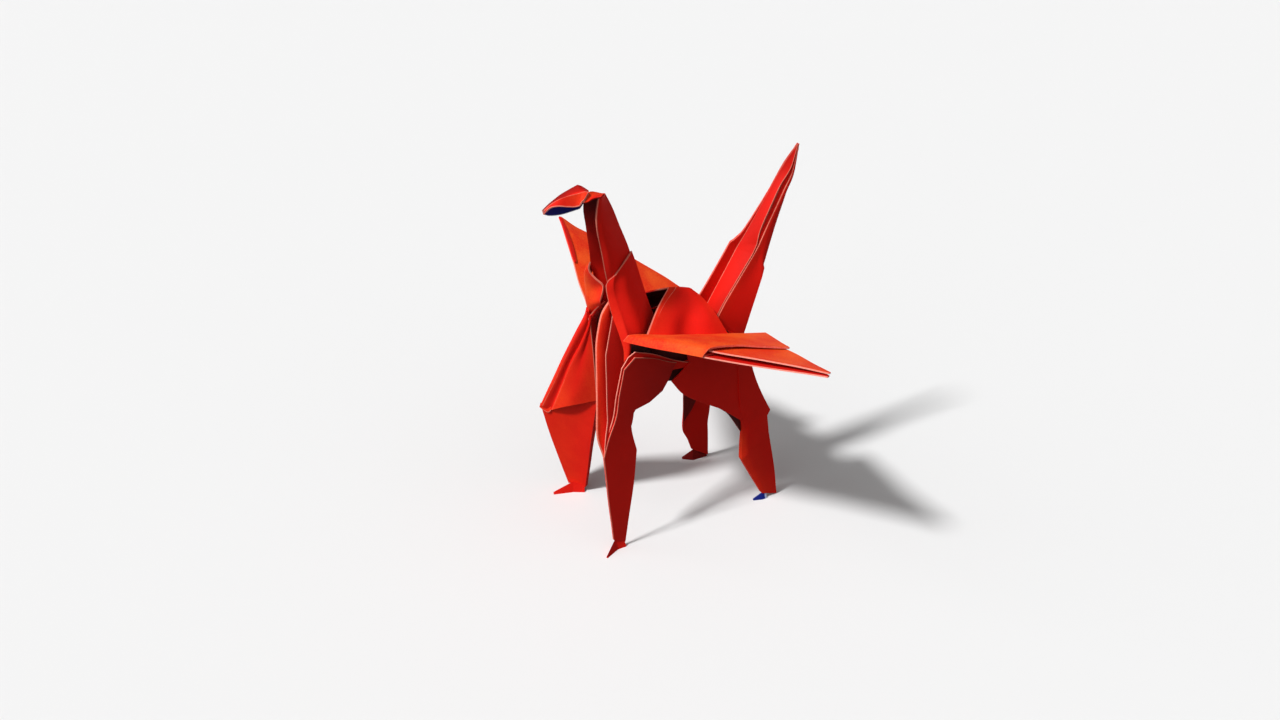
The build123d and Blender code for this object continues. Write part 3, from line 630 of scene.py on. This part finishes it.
# Tail
tailShape = {
    "thick": 0.34,
    "innerThick": 0.2,
    "edgeWear": 0.20,
    "hemWear": 0.10,
    "ridgeRubSheen": (0.20, 0.12),
    "hem": [(-2.2, 6.2, 44.8), (-2.1, 8.8, 48.6), (-1.8, 13.8, 56.6), (-1.6, 14.5, 57.0), (-1.5, 16.5, 58.4),
            (-1.3, 19.8, 62.9), (-1.0, 23.2, 68.2), (-0.7, 25.1, 71.6), (-0.1, 27.3, 74.9)],
    "ridge": [(-2.0, 8.3, 42.7), (-1.8, 10.4, 46.5), (-1.5, 15.2, 55.1), (-1.4, 15.7, 56.0),
              (-1.3, 17.2, 58.1), (-1.2, 20.2, 62.9), (-0.8, 23.2, 68.3), (-0.5, 25.1, 71.5),
              (0.0, 27.3, 74.9)],
    "slitLeft": [(2.9, 7.5, 42.1), (2.5, 10.6, 46.7), (1.7, 17.1, 54.7), (1.5, 18.1, 56.4), (1.3, 18.9, 59.1),
                 (1.2, 20.9, 63.3), (0.8, 23.4, 67.5), (0.5, 25.8, 70.5), (0.05, 27.35, 74.8)],
    "slitRight": [(2.9, 7.6, 42.0), (2.5, 10.7, 46.6), (1.7, 17.2, 54.5), (1.6, 18.4, 56.2),
                  (1.45, 19.6, 58.4), (1.2, 21.8, 62.4), (0.9, 24.1, 66.4), (0.55, 26.1, 69.7),
                  (0.05, 27.4, 74.8)],
    "side": [(3.3, 7.5, 38.3), (2.8, 12.3, 45.3), (2.0, 18.2, 52.9), (1.8, 18.9, 54.8), (1.6, 20.1, 57.5),
             (1.3, 22.2, 62.0), (1.0, 24.5, 66.0), (0.6, 26.3, 69.2), (0.05, 27.4, 74.7)],
    "back": [(3.7, 13.6, 36.6), (3.5, 15.7, 43.0), (2.9, 18.5, 50.0), (2.5, 19.2, 51.6), (2.1, 19.4, 52.4),
             (1.3, 22.1, 59.5), (0.8, 24.7, 65.9), (0.4, 26.4, 69.5), (0.0, 27.5, 74.7)],
    "farBack": [(-2.1, 12.8, 36.1), (-1.9, 14.9, 42.8), (-1.7, 17.4, 49.8), (-1.6, 17.9, 51.6),
                (-1.5, 18.2, 52.8), (-1.3, 21.0, 60.4), (-1.0, 23.6, 66.6), (-0.6, 25.6, 70.3),
                (-0.05, 27.4, 74.8)],
    # painted shade over most of the left strip, deepest toward the tip, with a slight painted highlight at
    # the foot of the ridge; painted shade on the slit's inner ply and the linings
    "leftTones": [(-0.05, -0.2, -0.35), (0.1, -0.35, -0.42), (-0.35, -0.3, -0.15)],
    "rightTones": [0.1, 0.0, -0.1, -0.1, 0.0],
}

shape = tailShape
makePiece("tail", [
    fold([shape["hem"], shape["ridge"], shape["slitLeft"]], creases=(1,), corners=(2, 3),
         wornAndSheen={0: shape["hemWear"], 1: shape["ridgeRubSheen"], 2: shape["edgeWear"]}, thick=shape["thick"],
         edge=outside, paintedLight=shape["leftTones"], lining=-0.3),
    fold([moved(shape["slitLeft"], dx=-0.2, dy=0.3), moved(shape["slitRight"], dx=-0.25, dy=0.4)],
         corners=(2, 3), thick=shape["innerThick"], edge=outside, paintedLight=-0.1),
    fold([shape["slitRight"], shape["side"], shape["back"], shape["farBack"],
          moved(shape["hem"], dx=-0.3, dy=0.3)],
         creases=(2, 3), corners=(2, 3), wornAndSheen={0: shape["edgeWear"]}, thick=shape["thick"], edge=outside,
         paintedLight=shape["rightTones"], lining=-0.3),
])


# Body
bodyShape = {
    "thick": 0.36,
    "bellyWear": 0.08,
    "keelInset": 0.6,
    "rootLine": [(6.9, -2.4, 44.4), (7.1, 1.6, 43.2), (7.3, 6.0, 42.2), (7.5, 10.6, 41.2), (7.8, 15.2, 40.2)],
    "flankTop": [(7.5, -0.9, 38.5), (7.6, 1.6, 38.3), (7.6, 5.0, 37.1), (7.6, 8.1, 35.9), (7.6, 11.4, 34.8)],
    "flankMid": [(7.6, -2.6, 37.0), (7.8, 0.4, 34.7), (8.0, 4.5, 32.3), (8.0, 7.9, 30.1), (7.9, 11.4, 28.0)],
    "flankLow": [(7.7, -4.9, 35.5), (8.0, -2.2, 31.8), (8.3, 3.6, 27.6), (8.4, 6.2, 25.8), (8.5, 11.6, 21.1)],
    "floorNear": [(5.4, -12.6, 45.6), (5.6, -5.0, 44.6), (5.8, 2.0, 43.2), (6.0, 9.0, 41.6)],
    "floorMiddle": [(0.0, -11.0, 43.0), (0.0, -4.0, 42.4), (0.0, 3.0, 41.6), (0.0, 10.0, 40.6)],
    "rumpNear": [(6.0, 9.0, 41.4), (7.4, 12.4, 38.0), (8.0, 13.4, 34.6)],
    "rumpMiddle": [(0.0, 10.0, 40.4), (0.0, 14.8, 37.6), (0.0, 14.4, 33.4)],
    "wallTop": [(6.2, -13.6, 46.0), (6.4, -10.0, 45.8), (6.6, -6.0, 45.2), (7.0, 1.5, 43.3)],
    "nearWallTop": [(3.4, -13.2, 45.8), (4.4, -9.6, 45.6), (5.6, -5.6, 45.0), (6.8, 0.8, 43.6)],
    "nearWallLow": [(5.2, -13.2, 36.6), (5.4, -9.4, 36.0), (5.6, -6.0, 34.9), (6.2, 0.8, 33.4)],
    "farWallLow": [(-5.8, -13.2, 37.4), (-6.6, -10.4, 36.4), (-7.2, -6.6, 35.8), (-7.3, 1.0, 36.2)],
    "groinTop": [(7.4, 4.6, 29.0), (7.4, 8.0, 28.0), (7.5, 11.4, 27.0)],
    "groinLow": [(7.6, 6.4, 25.5), (7.6, 8.8, 23.1), (7.8, 12.0, 17.9)],
    "keel": [(0.0, -9.0, 34.0), (0.0, -4.0, 35.0), (0.0, 2.0, 35.4), (0.0, 7.0, 34.8), (0.0, 12.0, 33.0)],
}

shape = bodyShape
flank = [shape[name] for name in ("rootLine", "flankTop", "flankMid", "flankLow")]
keelSide = moved(shape["flankTop"], dx=-shape["keelInset"])
makePiece("body", [
    fold(flank, creases=(1,), wornAndSheen={3: shape["bellyWear"]}, thick=shape["thick"], flip=True, edge=outside),
    fold([mirrored(rail) for rail in flank], creases=(1,), wornAndSheen={3: shape["bellyWear"]}, thick=shape["thick"],
         edge=outside),
    fold([keelSide, shape["keel"], mirrored(keelSide)], creases=(1,), thick=shape["thick"], edge=outside),
    # painted shade: the floor, the near wall and the groin deep inside the body are darkened toward the shade
    # of a deep fold
    fold([shape["floorNear"], shape["floorMiddle"], mirrored(shape["floorNear"])], creases=(1,),
         thick=shape["thick"], edge=outside, paintedLight=-0.1, lining=-0.9),
    fold([shape["rumpNear"], shape["rumpMiddle"], mirrored(shape["rumpNear"])], creases=(1,),
         thick=shape["thick"], edge=outside),
    fold([shape["nearWallTop"], shape["nearWallLow"]], thick=shape["thick"], edge=outside, paintedLight=-0.9),
    fold([mirrored(shape["wallTop"]), shape["farWallLow"]], thick=shape["thick"], edge=outside),
    fold([shape["groinTop"], shape["groinLow"]], thick=shape["thick"], edge=outside, paintedLight=-0.9, lining=0.0),
])


# Near front leg
nearFrontLegShape = {
    "plyThick": 0.22,
    "edgeWear": 0.22,
    "rollRubSheen": (0.34, 0.30),
    "frontWear": 0.24,
    "backWear": 0.08,
    "roll": [(0.6, -14.6, 52.2), (0.8, -15.7, 51.1), (1.1, -16.5, 50.1), (1.6, -17.4, 47.9),
             (2.3, -18.3, 44.9), (3.1, -18.8, 41.9), (4.1, -19.3, 37.5), (5.2, -19.9, 32.9),
             (6.6, -20.7, 27.2), (8.0, -20.1, 23.1)],
    "rollRight": [(1.0, -14.3, 51.4), (1.3, -15.2, 50.6), (1.6, -16.0, 49.6), (2.1, -16.9, 47.6),
                  (2.8, -17.6, 44.7), (3.6, -18.2, 41.8), (4.5, -18.7, 37.3), (5.5, -19.3, 32.7),
                  (6.8, -20.0, 27.0), (8.0, -20.1, 23.2)],
    "rollBack": [(0.9, -13.8, 51.3), (1.2, -14.2, 50.0), (1.6, -14.7, 48.9), (2.2, -15.3, 46.8),
                 (2.9, -16.0, 43.8), (3.8, -16.5, 41.0), (4.8, -17.1, 36.6), (5.9, -17.8, 32.0),
                 (7.2, -18.8, 27.3), (8.0, -20.0, 23.4)],
    "rollLeft": [(0.2, -13.8, 51.8), (0.2, -14.8, 50.8), (0.4, -15.6, 49.6), (0.9, -16.6, 47.4),
                 (1.5, -17.4, 44.4), (2.3, -17.9, 41.4), (3.4, -18.4, 37.0), (4.6, -19.0, 32.4),
                 (6.1, -19.8, 27.0), (7.6, -19.6, 23.4)],
    "rollInner": [(0.0, -11.8, 51.0), (0.2, -12.4, 49.6), (0.5, -13.0, 48.0), (1.0, -13.6, 46.0),
                  (1.8, -14.2, 43.0), (2.8, -14.6, 40.0), (4.0, -15.0, 36.0), (5.2, -15.6, 32.0),
                  (6.4, -16.6, 27.0), (7.4, -17.6, 23.8)],
    "second": [(2.0, -14.5, 50.9), (2.3, -14.8, 50.1), (3.1, -15.8, 47.6), (3.9, -16.9, 44.6),
               (4.3, -17.4, 43.2), (5.4, -17.9, 38.3), (6.7, -18.5, 32.4), (7.1, -18.7, 30.5),
               (7.7, -19.5, 27.4), (8.0, -20.0, 23.6)],
    "secondBack": [(1.8, -12.4, 51.4), (2.9, -12.2, 50.5), (3.7, -11.8, 46.7), (4.6, -11.5, 42.9),
                   (5.0, -11.7, 41.0), (6.0, -13.6, 36.8), (7.0, -16.2, 31.4), (7.3, -17.2, 29.6),
                   (7.8, -18.8, 26.7), (8.0, -19.9, 23.5)],
    "plyOne": [(7.3, 0.4, 37.9), (7.2, -4.2, 39.9), (7.2, -8.9, 42.7), (7.2, -12.7, 44.3),
               (7.2, -14.2, 43.5), (7.2, -15.6, 41.5), (7.4, -16.9, 35.7), (7.5, -17.6, 31.5),
               (7.6, -19.2, 26.8), (7.7, -19.9, 23.1)],
    "plyOneBack": [(7.3, 0.2, 37.3), (7.3, -4.4, 37.8), (7.3, -8.0, 38.0), (7.3, -11.0, 38.0),
                   (7.3, -12.0, 37.0), (7.3, -12.5, 35.0), (7.4, -13.0, 32.0), (7.5, -13.5, 29.0),
                   (7.6, -14.5, 26.0), (7.6, -15.0, 24.0)],
    "front": [(7.8, -3.9, 39.5), (7.8, -6.0, 40.4), (7.7, -9.0, 42.0), (7.7, -13.0, 43.4),
              (7.7, -15.3, 41.4), (7.9, -16.5, 35.9), (8.0, -17.2, 31.6), (8.1, -19.0, 27.0),
              (8.2, -20.2, 23.0), (8.4, -19.7, 15.4), (8.8, -18.7, 2.5)],
    "back": [(7.8, -4.2, 39.2), (7.8, -4.8, 38.0), (7.9, -5.5, 36.6), (7.9, -7.0, 34.2), (8.0, -9.9, 32.6),
             (8.0, -13.0, 31.9), (8.0, -13.9, 30.3), (8.1, -13.9, 27.1), (8.2, -12.9, 22.5),
             (8.4, -13.7, 15.1), (8.8, -16.0, 0.9)],
    "legWidth": [0.25, 0.25, 0.25, 0.25, 0.25, 0.25, 0.3, 0.35, 0.4, 0.4, 0.4],
    # painted highlight along the rounded roll; painted shade inside it, on the second ply, and near the top
    # of the leg under the wing
    "rollTones": [-0.95, (-0.2, 0.4), (0.6, 0.5), (0.1, 0.2), -0.1],
    "legTones": [(-0.35, -0.35, -0.2, 0.0), (-0.45, -0.45, -0.25, 0.0), 0.0, 0.0],
}

shape = nearFrontLegShape
makePiece("nearFrontLeg", [
    fold([shape["rollInner"], shape["rollLeft"], shape["roll"], shape["rollRight"], shape["rollBack"]],
         wornAndSheen={2: shape["rollRubSheen"]}, thick=shape["plyThick"], flip=True, edge=outside,
         paintedLight=shape["rollTones"]),
    fold([shape["second"], shape["secondBack"]], wornAndSheen={0: shape["edgeWear"]}, thick=shape["plyThick"],
         flip=True, paintedLight=-0.38),
    fold([shape["plyOne"], shape["plyOneBack"]], wornAndSheen={0: shape["edgeWear"]}, thick=shape["plyThick"],
         corners=(3, 4, 5), flip=True),
    fold([shape["front"], shape["back"], inward(shape["back"], shape["legWidth"]),
          inward(shape["front"], shape["legWidth"])], creases=(0, 1, 2, 3), corners=(3, 4, 5, 8),
         wornAndSheen={0: shape["frontWear"], 1: shape["backWear"], 4: shape["frontWear"]}, closed=True, edge=outside,
         paintedLight=shape["legTones"]),
])


# Far front leg
farFrontLegShape = {
    "thick": 0.34,
    "crimpThick": 0.2,
    "crimpWear": 0.2,
    "ridgeRubSheen": (0.0, 0.12),
    "innerWear": (0.34, 0.22),
    "shinWear": 0.05,
    "contour": [(-5.0, -16.2, 48.9), (-5.6, -16.4, 47.0), (-8.0, -17.4, 42.1), (-10.4, -18.4, 36.9),
                (-14.2, -20.0, 28.4), (-17.5, -21.5, 20.7)],
    "strip": [(-4.4, -16.5, 48.3), (-4.8, -16.6, 46.6), (-7.1, -17.6, 42.0), (-9.4, -18.5, 37.0),
              (-13.2, -20.0, 28.5), (-16.7, -21.4, 21.2)],
    "valley": [(-4.4, -16.0, 47.7), (-4.8, -16.1, 45.5), (-7.2, -16.9, 39.9), (-9.5, -17.8, 35.1),
               (-12.6, -19.0, 27.5), (-15.7, -20.2, 20.3)],
    "ridge": [(-4.0, -16.2, 47.5), (-4.5, -16.2, 44.9), (-6.8, -17.2, 39.0), (-9.0, -18.0, 34.4),
              (-11.9, -19.1, 27.4), (-14.6, -20.1, 21.0)],
    "middle": [(-3.3, -15.6, 48.9), (-4.6, -16.0, 44.9), (-6.1, -16.3, 39.5), (-7.2, -16.8, 35.3),
               (-8.4, -17.4, 29.2), (-10.2, -18.4, 24.0)],
    "inner": [(-1.1, -14.6, 51.7), (-4.1, -16.1, 47.1), (-4.5, -15.9, 44.7), (-4.7, -15.5, 40.4),
              (-5.1, -14.9, 33.8), (-5.7, -14.3, 26.7)],
    "innerBack": [(-2.6, -13.2, 50.2), (-4.8, -13.6, 46.2), (-5.2, -13.6, 43.8), (-5.6, -13.2, 39.6),
                  (-6.2, -12.8, 33.2), (-6.8, -12.4, 26.4)],
    "outerBack": [(-5.2, -14.4, 48.6), (-6.0, -14.4, 46.6), (-8.4, -15.2, 41.8), (-10.8, -16.2, 36.8),
                  (-14.6, -18.0, 28.6), (-17.8, -20.0, 21.2)],
    "shinLeft": [(-17.3, -21.5, 20.9), (-16.6, -20.2, 14.2), (-15.7, -18.7, 7.3), (-14.7, -17.1, 0.6)],
    "crimpTop": [(-17.4, -21.5, 21.6), (-16.6, -20.9, 21.5), (-15.9, -20.4, 21.6), (-15.3, -20.1, 21.8)],
    "crimpLow": [(-17.6, -21.7, 20.5), (-16.6, -21.1, 20.0), (-15.7, -20.6, 19.9), (-15.1, -20.2, 20.7)],
    "shinMiddle": [(-11.5, -17.9, 23.6), (-11.5, -16.7, 17.3), (-11.8, -16.2, 9.8), (-12.7, -15.9, 1.4)],
    "shinRight": [(-5.7, -14.2, 26.6), (-7.1, -14.5, 20.0), (-8.9, -14.6, 11.7), (-11.0, -14.9, 1.0)],
    "shinBackRight": [(-6.6, -12.6, 26.4), (-7.9, -13.1, 19.8), (-9.6, -13.5, 11.5), (-11.6, -14.0, 1.0)],
    "shinBackLeft": [(-17.6, -20.2, 21.2), (-17.0, -19.1, 14.3), (-16.2, -17.8, 7.4), (-15.2, -16.4, 0.6)],
    # painted highlight on the ridges and edges toward the knee and on the crimp; painted shade in the valley
    # and on the inner back
    "thighTones": [(0.0, 0.3), (0.0, 0.2), (-0.35, -0.2), (-0.1, 0.4), (-0.35, 0.2), (0.0, 0.4), -0.9],
    "shinTones": [0.15, 0.1, 0.05, -0.2, 0.0],
}

shape = farFrontLegShape
makePiece("farFrontLeg", [
    fold([shape["contour"], shape["strip"], shape["valley"], shape["ridge"], shape["middle"], shape["inner"],
          shape["innerBack"]], creases=(0, 5),
         wornAndSheen={1: shape["ridgeRubSheen"], 3: shape["ridgeRubSheen"], 5: shape["innerWear"]},
         thick=shape["thick"], flip=True, edge=outside, paintedLight=shape["thighTones"]),
    fold([moved(shape["contour"], dy=0.5), shape["outerBack"], shape["innerBack"]], creases=(1,),
         thick=shape["thick"], edge=outside),
    fold([shape["crimpTop"], shape["crimpLow"]], wornAndSheen={1: shape["crimpWear"]}, thick=shape["crimpThick"],
         paintedLight=0.3),
    fold([shape["shinLeft"], shape["shinMiddle"], shape["shinRight"], shape["shinBackRight"],
          shape["shinBackLeft"]], creases=(0, 2, 3, 4), wornAndSheen={0: shape["shinWear"], 2: shape["shinWear"]},
         closed=True, edge=outside, paintedLight=shape["shinTones"]),
])


# Rear legs
nearRearLegShape = {
    "backWear": 0.06,
    "front": [(8.2, 10.2, 37.0), (8.0, 10.4, 34.4), (8.5, 10.9, 26.4), (8.5, 12.1, 18.7), (8.8, 11.9, 15.2),
              (9.1, 11.9, 11.5), (9.6, 14.3, 6.6), (10.3, 16.9, 1.4)],
    "shin": [(8.2, 11.1, 37.0), (8.0, 11.4, 34.2), (8.5, 12.1, 27.3), (9.0, 13.5, 19.8), (9.3, 13.0, 17.0),
             (9.6, 13.2, 13.2), (10.0, 15.7, 6.7), (10.4, 18.0, 1.1)],
    "back": [(8.1, 13.2, 37.0), (8.1, 13.7, 33.7), (8.4, 15.2, 29.1), (8.9, 18.6, 21.7), (9.05, 17.8, 20.6),
             (9.3, 18.2, 16.5), (10.0, 20.0, 6.3), (10.5, 20.7, 0.1)],
    "legWidth": [0.7, 0.7, 0.7, 0.9, 1.1, 1.2, 1.2, 1.1],
    # painted highlight at the knee where the front light falls, and slight painted shade high on the leg
    "frontTones": (-0.1, -0.1, -0.1, 0.2, 0.4, 0.3, 0.1),
    "shinTones": (-0.1, -0.1, -0.1, 0.0, 0.1, 0.1),
    "backTones": (-0.1, -0.1, 0.0),
    "innerTones": (0.0, 0.0, 0.3, 0.4, 0.3),
}

farRearLegShape = {
    "backWear": 0.06,
    "bandThick": 0.2,
    # painted shade: the inner band in the hollow of the leg
    "bandTone": -0.75,
    "bandTop": [(-7.9, 7.8, 20.4), (-8.1, 9.8, 19.2), (-7.9, 11.6, 18.0)],
    "bandLow": [(-8.4, 8.3, 10.2), (-8.3, 8.5, 12.0), (-8.2, 10.2, 14.6)],
    "front": [(-7.8, 9.4, 37.0), (-8.0, 8.8, 30.0), (-8.2, 8.4, 24.0), (-8.5, 8.4, 18.8), (-8.7, 8.3, 13.5),
              (-8.8, 8.4, 9.4), (-8.9, 9.8, 6.4), (-9.0, 10.9, 3.4)],
    "back": [(-7.9, 14.0, 37.0), (-8.1, 15.4, 30.5), (-8.3, 15.7, 24.0), (-8.6, 15.2, 15.7),
             (-8.7, 15.1, 12.4), (-8.8, 14.9, 9.6), (-8.9, 15.1, 6.1), (-9.1, 15.4, 0.2)],
    "legWidth": [-0.3, -0.3, -0.3, -0.3, -0.3, -0.3, -0.4, -0.4],
}

shape = nearRearLegShape
makePiece("nearRearLeg", [
    fold([shape["front"], shape["shin"], shape["back"], inward(shape["back"], shape["legWidth"]),
          inward(shape["front"], shape["legWidth"])], creases=(0, 2, 3, 4), corners=(3, 4, 5),
         wornAndSheen={2: shape["backWear"]}, closed=True, edge=outside,
         paintedLight=[shape["frontTones"], shape["shinTones"], shape["backTones"], 0.0, shape["innerTones"]]),
])

shape = farRearLegShape
makePiece("farRearLeg", [
    fold([shape["front"], shape["back"], inward(shape["back"], shape["legWidth"]),
          inward(shape["front"], shape["legWidth"])], creases=(0, 1, 2, 3), corners=(3,),
         wornAndSheen={1: shape["backWear"]}, closed=True, flip=True, edge=outside),
    fold([shape["bandTop"], shape["bandLow"]], thick=shape["bandThick"], edge=outside,
         paintedLight=shape["bandTone"], lining=0.0),
])


# Toes
# painted shade on the far toes: the far rear toe is darkened where the figure's shadow falls, the far front
# toe slightly
toes = {
    "nearFrontToe": {"heel": (8.7, -16.2, 0.0), "tip": (10.3, -21.1, 0.0), "ankle": (8.6, -18.2, 2.6),
                     "half": 0.6, "side": outside, "wear": 0.05, "heelWear": 0.0, "paintedLight": 0.0},
    "farFrontToe": {"heel": (-11.5, -14.9, 0.0), "tip": (-13.6, -21.3, 0.0), "ankle": (-12.8, -17.0, 2.2),
                    "half": 0.9, "side": outside, "wear": 0.05, "heelWear": 0.0, "paintedLight": -0.12},
    "nearRearToe": {"heel": (10.2, 18.0, 0.0), "tip": (9.8, 15.0, 0.0), "ankle": (10.1, 16.9, 1.6),
                    "half": 0.6, "side": inside, "wear": 0.18, "heelWear": 0.5, "paintedLight": 0.0},
    "farRearToe": {"heel": (-9.1, 15.2, 0.0), "tip": (-10.5, 9.6, 0.0), "ankle": (-9.3, 11.6, 2.6),
                   "half": 0.6, "side": outside, "wear": 0.05, "heelWear": 0.0, "paintedLight": -0.7},
}

toeShape = {
    "blunt": 0.35,  # width at the tip, as a share of the width at the heel
    "heelHeight": 1.4,
    "tipHeight": 0.5,
}


def makeToe(name, toe):
    heel, tip, ankle = vectors([toe["heel"], toe["tip"], toe["ankle"]])
    up = Vector((0.0, 0.0, 1.0))
    sideways = (tip - heel).cross(up).normalized() * toe["half"]
    tipSideways = sideways * toeShape["blunt"]
    below = Vector((ankle.x, ankle.y, 0.0))
    right = [heel + sideways, below + sideways, tip + tipSideways]
    left = [heel - sideways, below - sideways, tip - tipSideways]
    top = [heel + up * toeShape["heelHeight"], ankle, tip + up * toeShape["tipHeight"]]
    side = toe["side"]
    makePiece(name, [
        fold([right, top, left], creases=(0, 1, 2), corners=(1,), wornAndSheen={1: toe["wear"]},
             ends=(toe["heelWear"], 0.0), closed=True, faces=(side, side), edge=side, paintedLight=toe["paintedLight"]),
    ])


for name, toe in toes.items():
    makeToe(name, toe)


# Floor, light and camera
studio = {
    "floorSize": 6.0,
    "floorColour": (0.78, 0.78, 0.78, 1.0),
    "floorBounce": (0.12, 0.14, 0.14, 1.0),  # what the floor throws back on the figure
    "floorRoughness": 0.9,
    "floorSpecular": 0.1,
    "keyTravel": Vector((0.01, 0.75, -1.0)),
    "keyStrength": 3.2,
    "keyAngle": 7.0,
    "frontTravel": Vector((0.1, 0.9, -0.42)),
    "frontStrength": 1.1,
    "frontAngle": 80.0,
    "sideTravel": Vector((-0.55, -0.2, -0.8)),
    "sideStrength": 0.4,
    "sideAngle": 75.0,
    "skyStrength": 0.10,
    "backdropStrength": 0.92,
    "cameraPlace": (0.15799, -0.09980, 0.14963),
    "cameraTurn": (58.5, 0.0, 60.0),
    "lens": 30.94,
    "sensor": 36.0,
    "clipStart": 0.01,
}


def seenByCamera(start):
    # 1 for what the camera sees, straight, in a gloss or through something clear
    rays = start.make("ShaderNodeLightPath")
    seen = start.wire(rays, "Is Camera Ray")
    for other in ("Is Glossy Ray", "Is Transmission Ray"):
        seen = seen.maths("MAXIMUM", seen, start.wire(rays, other))
    return seen


def makeFloor():
    half = studio["floorSize"] / 2
    mesh = bpy.data.meshes.new("floor")
    corners = [(-half, -half, 0.0), (half, -half, 0.0), (half, half, 0.0), (-half, half, 0.0)]
    mesh.from_pydata(corners, [], [(0, 1, 2, 3)])
    material, shader, start = startMaterial("floorCard")
    colour = seenByCamera(start).tint(studio["floorBounce"], studio["floorColour"])
    colour.feed(shader.inputs["Base Color"])
    shader.inputs["Roughness"].default_value = studio["floorRoughness"]
    shader.inputs["Specular IOR Level"].default_value = studio["floorSpecular"]
    mesh.materials.append(material)
    addToScene("floor", mesh)


def makeLamp(name):
    lamp = addToScene(name, bpy.data.lights.new(name, "SUN"))
    lamp.data.energy = studio[name + "Strength"]
    lamp.data.angle = math.radians(studio[name + "Angle"])
    lamp.rotation_euler = studio[name + "Travel"].to_track_quat("-Z", "Y").to_euler()


def makeSky():
    world = bpy.data.worlds.new("sky")
    world.use_nodes = True
    start = Wire(world.node_tree)
    backdrop = world.node_tree.nodes["Background"]
    backdrop.inputs["Color"].default_value = (1.0, 1.0, 1.0, 1.0)
    dim, bright = studio["skyStrength"], studio["backdropStrength"]
    (dim + (bright - dim) * seenByCamera(start)).feed(backdrop.inputs["Strength"])
    bpy.context.scene.world = world


def makeCamera():
    camera = addToScene("camera", bpy.data.cameras.new("camera"))
    camera.location = studio["cameraPlace"]
    camera.rotation_euler = [math.radians(angle) for angle in studio["cameraTurn"]]
    camera.data.lens = studio["lens"]
    camera.data.sensor_width = studio["sensor"]
    camera.data.clip_start = studio["clipStart"]
    bpy.context.scene.camera = camera


makeFloor()
for name in ("key", "front", "side"):
    makeLamp(name)
makeSky()
makeCamera()
bpy.context.scene.view_settings.view_transform = "Standard"
print("studio set")
